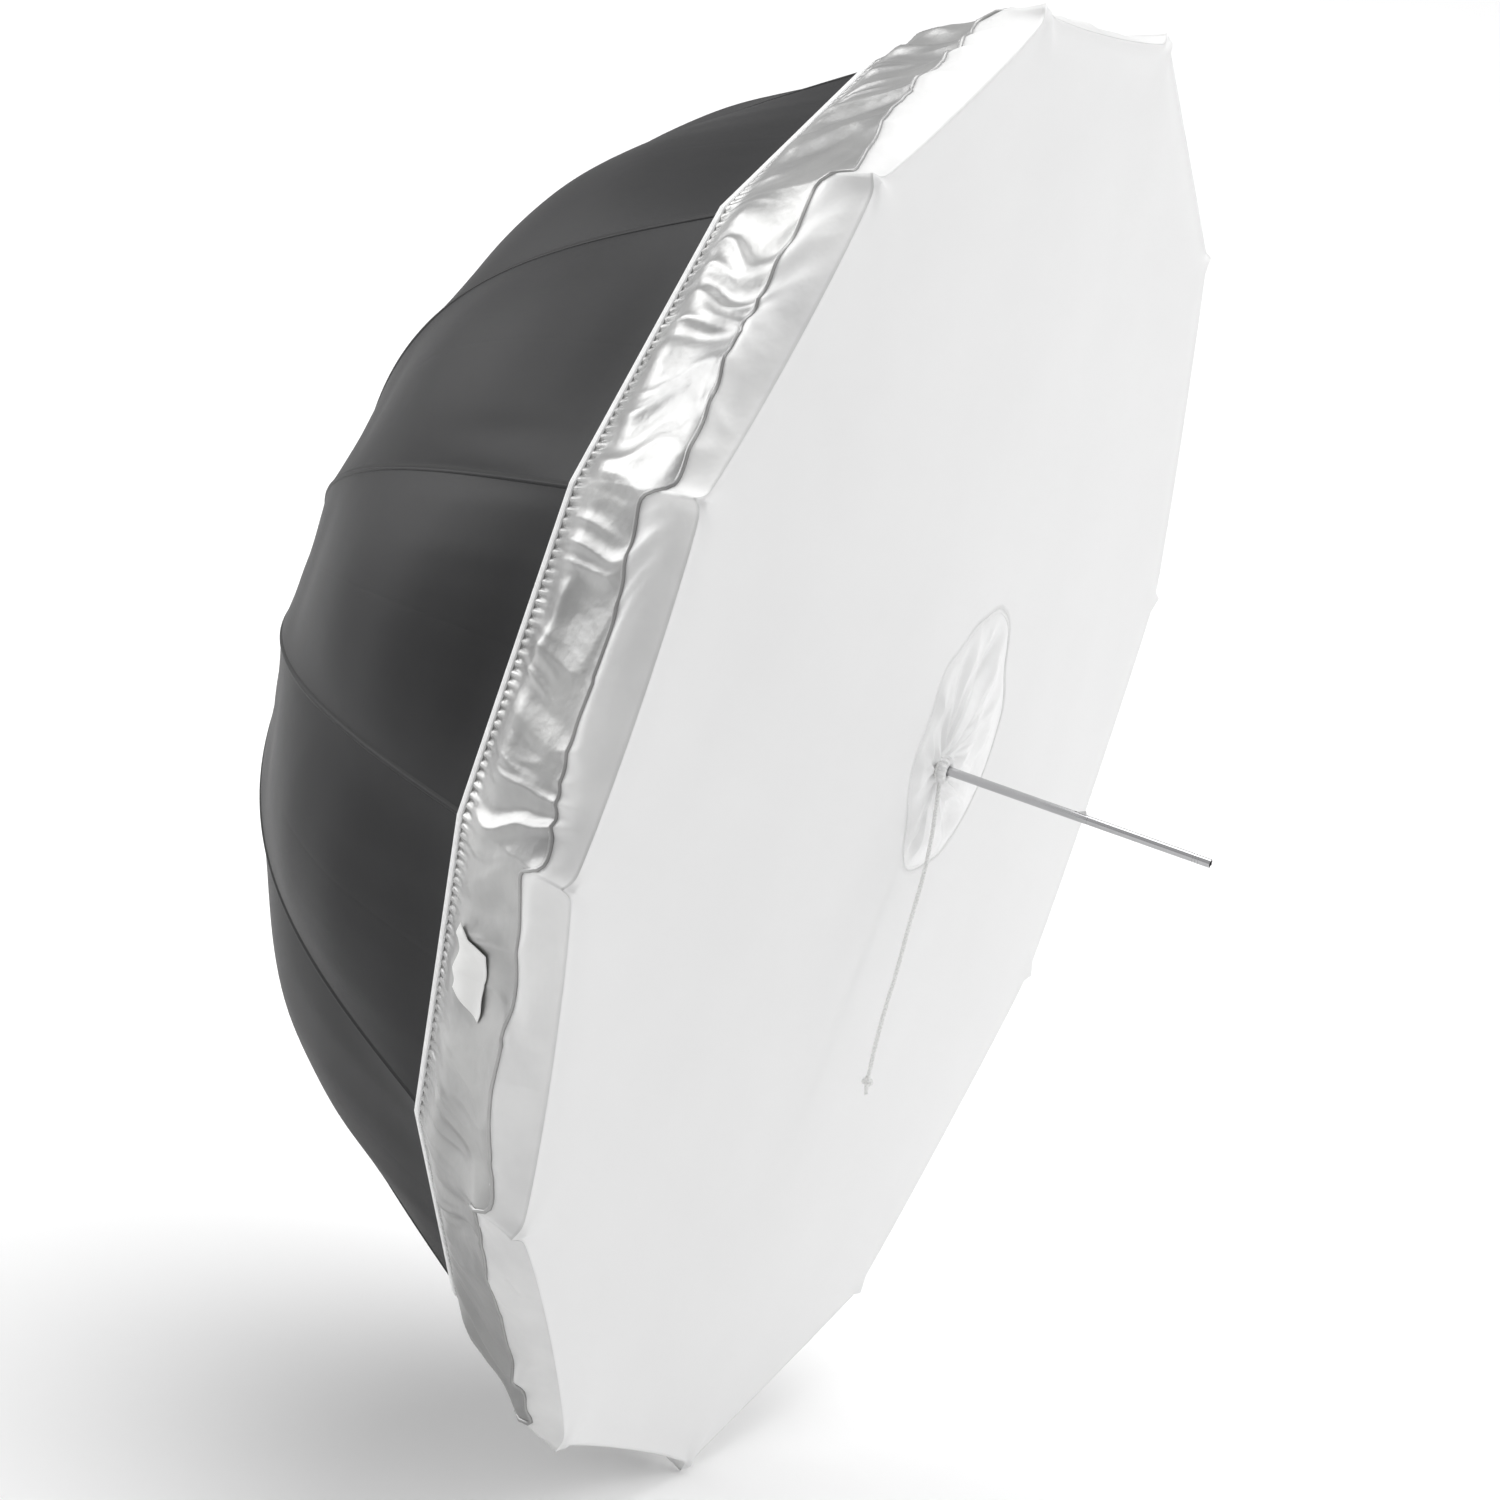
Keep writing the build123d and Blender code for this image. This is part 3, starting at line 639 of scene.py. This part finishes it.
def sleeve():
    angles = np.linspace(0, 360, 480, endpoint=False)
    turn = np.radians(angles)
    direction = np.stack([np.cos(turn), np.sin(turn)], axis=-1)
    outer = sleeve_rim(turn)
    pleat = np.sin(turn * 17 + 2.2 * np.sin(turn * 3 + 1)) + 0.5 * np.sin(turn * 31 + 0.7)
    rows = []
    for k, (r, y) in enumerate(NECK):
        swell = (0.45 if k in (4, 5) else 1.0) * 0.75 * MM * pleat * (k > 0)
        flat = direction * (r * MM + swell)[:, None]
        rows.append(np.stack([flat[:, 0], np.full(len(angles), y * MM), flat[:, 1]], axis=-1))
    start = direction * NECK[-1][0] * MM
    for s in np.linspace(0.02, 1.0, 70):
        flat = start + (outer - start) * s
        radius = np.hypot(flat[:, 0], flat[:, 1])
        fade = np.exp(-s * 3.4)
        radial = 2.2 * MM * pleat * fade * smooth(0, 0.12, s)
        inside = smooth(1.0, 0.7, s) * smooth(0, 0.15, s)
        spread = ridges(np.cos(turn) * 3.6 + 20, np.sin(turn) * 3.6 + 20, s * 1.4)
        rays = 10.0 * MM * inside * (spread - 0.5)
        soft = 6.0 * MM * inside * (noise(flat[:, 0] * 30 + 9, flat[:, 1] * 30 + 9) - 0.5)
        proud = 1.2 * MM * smooth(1.0, 0.9, s)
        y = sheet_y(radius) - proud - radial - rays - soft + sheet_relief(flat[:, 0], flat[:, 1])
        rows.append(np.stack([flat[:, 0], y, flat[:, 1]], axis=-1))
    piece = grid("sleeve_panel", np.array(rows), SLEEVE, wrap=True, flip=True)
    thicken(piece, 0.5 * MM)
    rim = np.array(rows[-1])
    behind = rim + np.array([0, 0.1 * MM, 0])
    seam = tube("sleeve_seam", behind, 0.3 * MM, WHITE_THREAD, sides=6, closed=True)
    middle = np.array([SLEEVE_AT[0], 0, SLEEVE_AT[1]])
    small = (rim - middle) * [0.972, 1, 0.972] + middle - [0, 0.6 * MM, 0]
    row = tube("sleeve_stitches", small, 0.3 * MM, WHITE_THREAD, sides=4, closed=True)
    ring = around(angles, 10.2 * MM + 0.2 * MM * pleat, 196.6 * MM)
    tie = tube("cinch_loop", ring, 1.5 * MM, CORD, sides=8, closed=True)
    for part in (piece, seam, row, tie):
        cover(part)
    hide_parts("diffuser_sleeve")


# ---------------------------------------------------------------- drawcord with its knot
def cord_line():
    """Points along the smooth line through the route."""
    curve = bpy.data.curves.new("drawcord_line", "CURVE")
    curve.dimensions = "3D"
    spline = curve.splines.new("NURBS")
    spline.points.add(len(CORD_ROUTE) - 1)
    for point, place in zip(spline.points, CORD_ROUTE):
        point.co = (*(c * MM for c in place), 1)
    spline.order_u = 3
    spline.use_endpoint_u = True
    spline.resolution_u = 24
    holder = bpy.data.objects.new("drawcord_line", curve)
    bpy.context.scene.collection.objects.link(holder)
    bpy.context.view_layer.update()
    mesh = bpy.data.meshes.new_from_object(holder)
    points = np.array([v.co for v in mesh.vertices])
    bpy.data.objects.remove(holder)
    bpy.data.meshes.remove(mesh)
    return points


def spaced(points, step):
    gaps = np.linalg.norm(np.diff(points, axis=0), axis=1)
    run = np.concatenate([[0], np.cumsum(gaps)])
    places = np.linspace(0, run[-1], int(run[-1] / step) + 1)
    return np.stack([np.interp(places, run, points[:, k]) for k in range(3)], axis=-1), places


def drawcord():
    line = cord_line()
    path, run = spaced(line, 0.45 * MM)
    ahead = np.gradient(path, axis=0)
    ahead /= np.linalg.norm(ahead, axis=1, keepdims=True)
    side = np.cross(ahead, (1.0, 0, 0))
    side /= np.linalg.norm(side, axis=1, keepdims=True)
    other = np.cross(ahead, side)
    sides, radius = 16, CORD_D / 2
    rings = []
    for j in range(sides):
        turn = j * tau / sides
        twist = run / (7.5 * MM) * tau
        braid = 0.82 + 0.18 * np.abs(np.cos(turn - twist)) + 0.05 * np.cos(6 * turn + 3 * twist)
        spoke = np.cos(turn) * side + np.sin(turn) * other
        rings.append(path + (radius * braid)[:, None] * spoke)
    points = np.stack(rings, axis=1)
    rope = grid("drawcord_rope", points, CORD, wrap=True)
    end, along = path[-1], ahead[-1]
    knot, tail = knot_pieces(end, along, side[-1], other[-1])
    for part in (rope, knot, tail):
        cover(part)
    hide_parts("drawcord")
    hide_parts("cord_knot")


def knot_pieces(end, along, side, other):
    """Overhand knot of the same cord, with its short frayed tail."""
    t = np.linspace(0, tau, 90, endpoint=False)
    size = 1.25 * MM
    a = (np.sin(t) + 2 * np.sin(2 * t)) * size
    b = (np.cos(t) - 2 * np.cos(2 * t)) * size * 1.15
    c = -np.sin(3 * t) * 1.7 * MM
    middle = end + along * 4.0 * MM
    path = middle + a[:, None] * side + b[:, None] * along + c[:, None] * other
    knot = tube("drawcord_knot", path, 1.75 * MM, CORD, sides=10, closed=True)
    s = np.linspace(0, 1, 16)
    tail_path = end + along * (7.0 * MM + 9 * MM * s)[:, None] + side * (1.6 * MM * s**2)[:, None]
    wide = CORD_D / 2 * (0.9 - 0.1 * s + 0.22 * smooth(0.7, 1.0, s))
    tail = tube("drawcord_tail", tail_path, wide, CORD, sides=12)
    return knot, tail


# ---------------------------------------------------------------- stage, light and camera
def lamp(name, place, aim, size, power):
    data = bpy.data.lights.new(name, "AREA")
    data.shape = "DISK"
    data.size = size
    data.energy = power
    obj = bpy.data.objects.new(name, data)
    obj.location = place
    obj.rotation_euler = (Vector(aim) - Vector(place)).to_track_quat("-Z", "Y").to_euler()
    bpy.context.scene.collection.objects.link(obj)


def stage():
    low = cad_box[0][2] - 4 * MM
    size = 30.0
    floor_material = material("floor_paint", (0.93, 0.93, 0.93), 0.9)
    vary(floor_material, (0.92, 0.92, 0.92), (0.94, 0.94, 0.94), 2.0)
    corners = [(-size, -size, low), (size, -size, low), (size, size, low), (-size, size, low)]
    floor = new_mesh("floor", corners, [(0, 1, 2, 3)], floor_material, smooth_shading=False)
    world = bpy.data.worlds.new("studio")
    world.use_nodes = True
    world.node_tree.nodes["Background"].inputs["Color"].default_value = (1, 1, 1, 1)
    world.node_tree.nodes["Background"].inputs["Strength"].default_value = 0.58
    bpy.context.scene.world = world
    bpy.context.scene.view_settings.view_transform = "Standard"
    middle = (0, 0.35, 0)
    lamp("key", (1.9, -3.2, 2.9), middle, 2.4, 45)
    lamp("top", (2.2, 0.9, 5.2), (2.2, 0.9, 0), 6.0, 235)
    lamp("back", (0.2, 4.3, 1.6), middle, 3.0, 90)


def camera():
    """Long lens at the picture's viewing direction: turn, height and roll in degrees."""
    turn, height, roll = radians(-71.34), radians(16.74), radians(13.95)
    pixels_per_metre, frame_pixels = 1169.47, 1500
    lens, sensor = 1200.0, 36.0
    back = Vector((sin(turn) * cos(height), -cos(turn) * cos(height), sin(height)))
    level = (-back).cross(Vector((0, 0, 1))).normalized()
    upright = level.cross(-back)
    right = cos(roll) * level + sin(roll) * upright
    up = -sin(roll) * level + cos(roll) * upright
    aim = Vector((0, RIM_Y, 0)) - right * 0.1001 - up * 0.0067
    distance = lens / sensor * frame_pixels / pixels_per_metre
    data = bpy.data.cameras.new("camera")
    data.lens = lens
    data.sensor_width = sensor
    data.clip_end = 2 * distance
    obj = bpy.data.objects.new("camera", data)
    place = aim + back * distance
    obj.matrix_world = Matrix(
        [[right[k], up[k], back[k], place[k]] for k in range(3)] + [[0, 0, 0, 1]]
    )
    bpy.context.scene.collection.objects.link(obj)
    bpy.context.scene.camera = obj


camera()
finish_nodes()
drawcord()
canopy()
skirt()
front_sheet()
sleeve()
stage()

bpy.context.view_layer.update()
